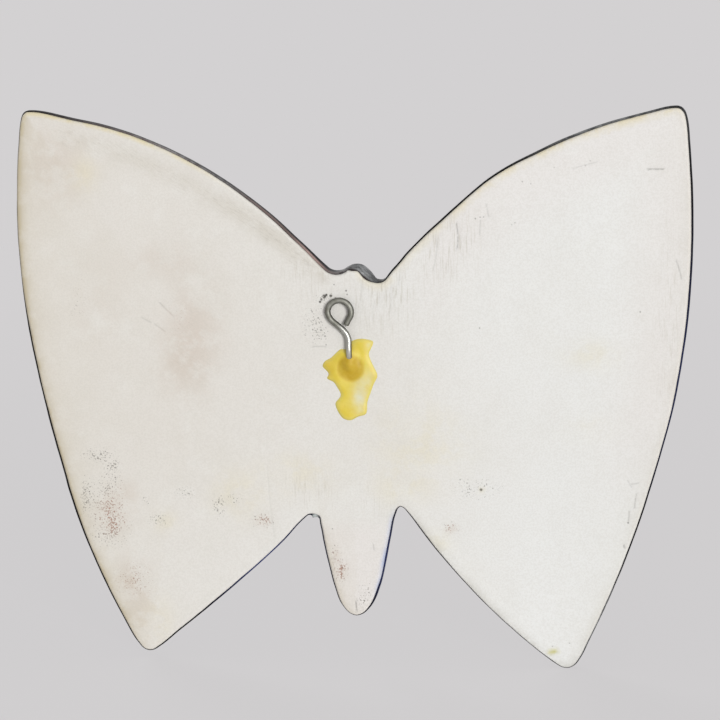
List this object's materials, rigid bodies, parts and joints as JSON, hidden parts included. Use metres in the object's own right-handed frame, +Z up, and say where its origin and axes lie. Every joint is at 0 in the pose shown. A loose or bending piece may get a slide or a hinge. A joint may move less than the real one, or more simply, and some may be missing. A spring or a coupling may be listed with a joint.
{
  "type": "ceramic butterfly wall plaque",
  "caption": "Flat butterfly-shaped ceramic wall plaque with a glazed, moulded front, a bare back and a bent wire eye set in adhesive to hang it from.",
  "frame": {"origin": "centre of the wire eye that the plaque hangs from", "axes": "+Z up as hung, +Y out of the bare back towards the wall, glazed front facing -Y, +X across the wings"},
  "size_m": [0.2002, 0.0156, 0.1668],
  "materials": {
    "bisque": "bare fired clay, matt",
    "glaze": "dark blue and charcoal gloss glaze",
    "steel": "dull drawn wire",
    "adhesive": "yellowed clear adhesive"
  },
  "bodies": {
    "root": {"ceramic_body": "bisque", "front_glaze": "glaze", "hanger_wire": "steel", "adhesive_plug": "adhesive"}
  },
  "joints": []
}
